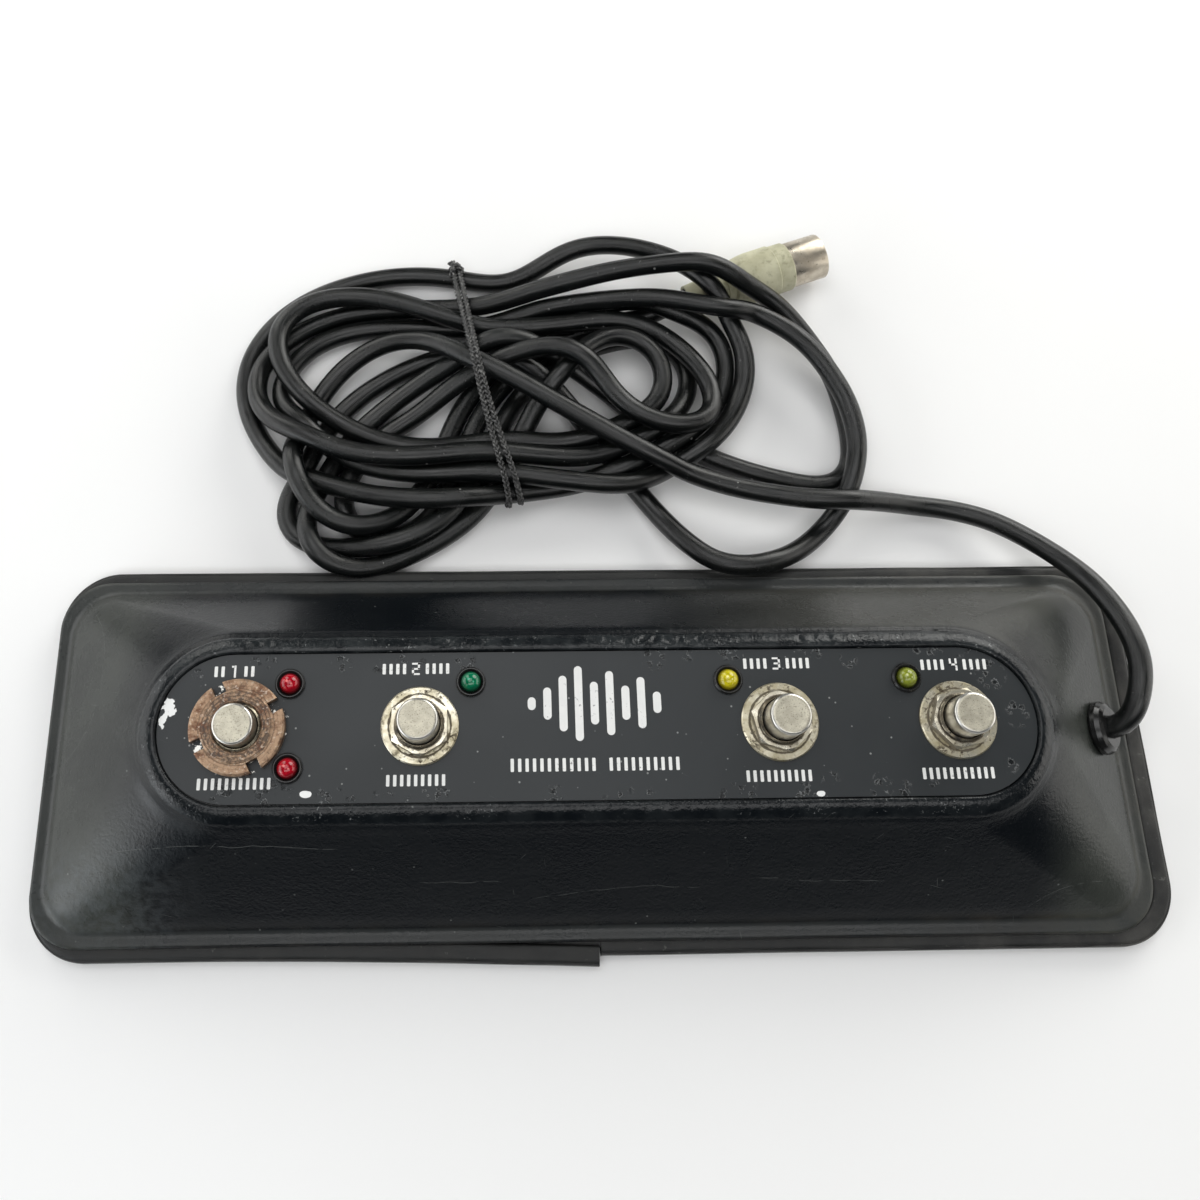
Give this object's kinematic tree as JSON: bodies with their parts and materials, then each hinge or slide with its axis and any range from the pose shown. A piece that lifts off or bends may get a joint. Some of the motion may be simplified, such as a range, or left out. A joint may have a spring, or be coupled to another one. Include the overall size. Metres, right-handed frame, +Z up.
{
  "type": "amplifier footswitch",
  "caption": "Low wedge-sided footswitch with a row of press buttons and indicator lamps, and a tied hank of cable ending in a round multi-pin plug.",
  "frame": {"origin": "on the floor under the middle of the housing's box, including the sprung end of its edge trim", "axes": "+X along the row of buttons towards the cable exit, +Y away from the player, +Z up"},
  "size_m": [0.2814, 0.201, 0.045],
  "materials": {
    "shell_plastic": "fine moulded grain, semi-matt black",
    "label": "dark slate satin with pale printed marks",
    "base_steel": "black paint",
    "trim_rubber": "dusty black",
    "screw_steel": "plated",
    "barrel_nickel": "worn bright plating",
    "button_nickel": "dull worn nickel",
    "spring_steel": "drawn wire",
    "case_plastic": "phenolic",
    "terminal_metal": "tinned",
    "nut_nickel": "tarnished nickel",
    "ring_brass": "brown tarnish",
    "lamp_red": "clear tinted",
    "lamp_green": "clear tinted",
    "lamp_yellow": "clear tinted",
    "lamp_olive": "clear tinted",
    "holder_plastic": "black",
    "board": "green solder mask",
    "resistor": "lacquer",
    "diode": "glass",
    "core_plastic": "core insulation",
    "collar_metal": "crimped",
    "grommet_rubber": "glossy black",
    "cable_jacket": "slightly dusty black",
    "hank_jacket": "slightly dusty black",
    "tie_braid": "black braid",
    "boot_plastic": "beige-grey moulding",
    "sleeve_nickel": "nickel plate",
    "insert_plastic": "black",
    "pin_metal": "plated"
  },
  "bodies": {
    "housing": {"shell": "shell_plastic", "label_plate": "label", "base_plate": "base_steel", "edge_trim": "trim_rubber", "base_screws": "screw_steel", "barrel_1": "barrel_nickel", "barrel_2": "barrel_nickel", "barrel_3": "barrel_nickel", "barrel_4": "barrel_nickel", "spring_1": "spring_steel", "spring_2": "spring_steel", "spring_3": "spring_steel", "spring_4": "spring_steel", "switch_case_1": "case_plastic", "switch_case_2": "case_plastic", "switch_case_3": "case_plastic", "switch_case_4": "case_plastic", "terminals_1": "terminal_metal", "terminals_2": "terminal_metal", "terminals_3": "terminal_metal", "terminals_4": "terminal_metal", "hex_nuts": "nut_nickel", "flat_washers": "nut_nickel", "ring_nut": "ring_brass", "lock_nuts": "nut_nickel", "lock_washers": "nut_nickel", "lamp_1_rear": "lamp_red", "lamp_1_front": "lamp_red", "lamp_2": "lamp_green", "lamp_3": "lamp_yellow", "lamp_4": "lamp_olive", "lamp_holders": "holder_plastic", "circuit_board": "board", "board_resistors": "resistor", "board_diodes": "diode", "cable_cores": "core_plastic", "crimp_collar": "collar_metal", "cable_grommet": "grommet_rubber", "cable_run": "cable_jacket", "cable_loop_outer": "cable_jacket", "cable_loop_inner": "cable_jacket", "cable_hank": "hank_jacket", "cable_tie": "tie_braid", "plug_boot": "boot_plastic", "plug_sleeve": "sleeve_nickel", "plug_insert": "insert_plastic", "plug_pins": "pin_metal"},
    "button_1": {"button_1": "button_nickel"},
    "button_2": {"button_2": "button_nickel"},
    "button_3": {"button_3": "button_nickel"},
    "button_4": {"button_4": "button_nickel"}
  },
  "joints": [
    {"name": "press_1", "type": "slide", "parent": "housing", "child": "button_1", "axis": [0, 0, -1], "range_m": [0, 0.0025], "stiffness_N_per_m": 2000, "springref_m": -0.006, "deforming": ["spring_1"]},
    {"name": "press_2", "type": "slide", "parent": "housing", "child": "button_2", "axis": [0, 0, -1], "range_m": [0, 0.0045], "stiffness_N_per_m": 2000, "springref_m": -0.006, "deforming": ["spring_2"]},
    {"name": "press_3", "type": "slide", "parent": "housing", "child": "button_3", "axis": [0, 0, -1], "range_m": [0, 0.0045], "stiffness_N_per_m": 2000, "springref_m": -0.006, "deforming": ["spring_3"]},
    {"name": "press_4", "type": "slide", "parent": "housing", "child": "button_4", "axis": [0, 0, -1], "range_m": [0, 0.0045], "stiffness_N_per_m": 2000, "springref_m": -0.006, "deforming": ["spring_4"]}
  ]
}
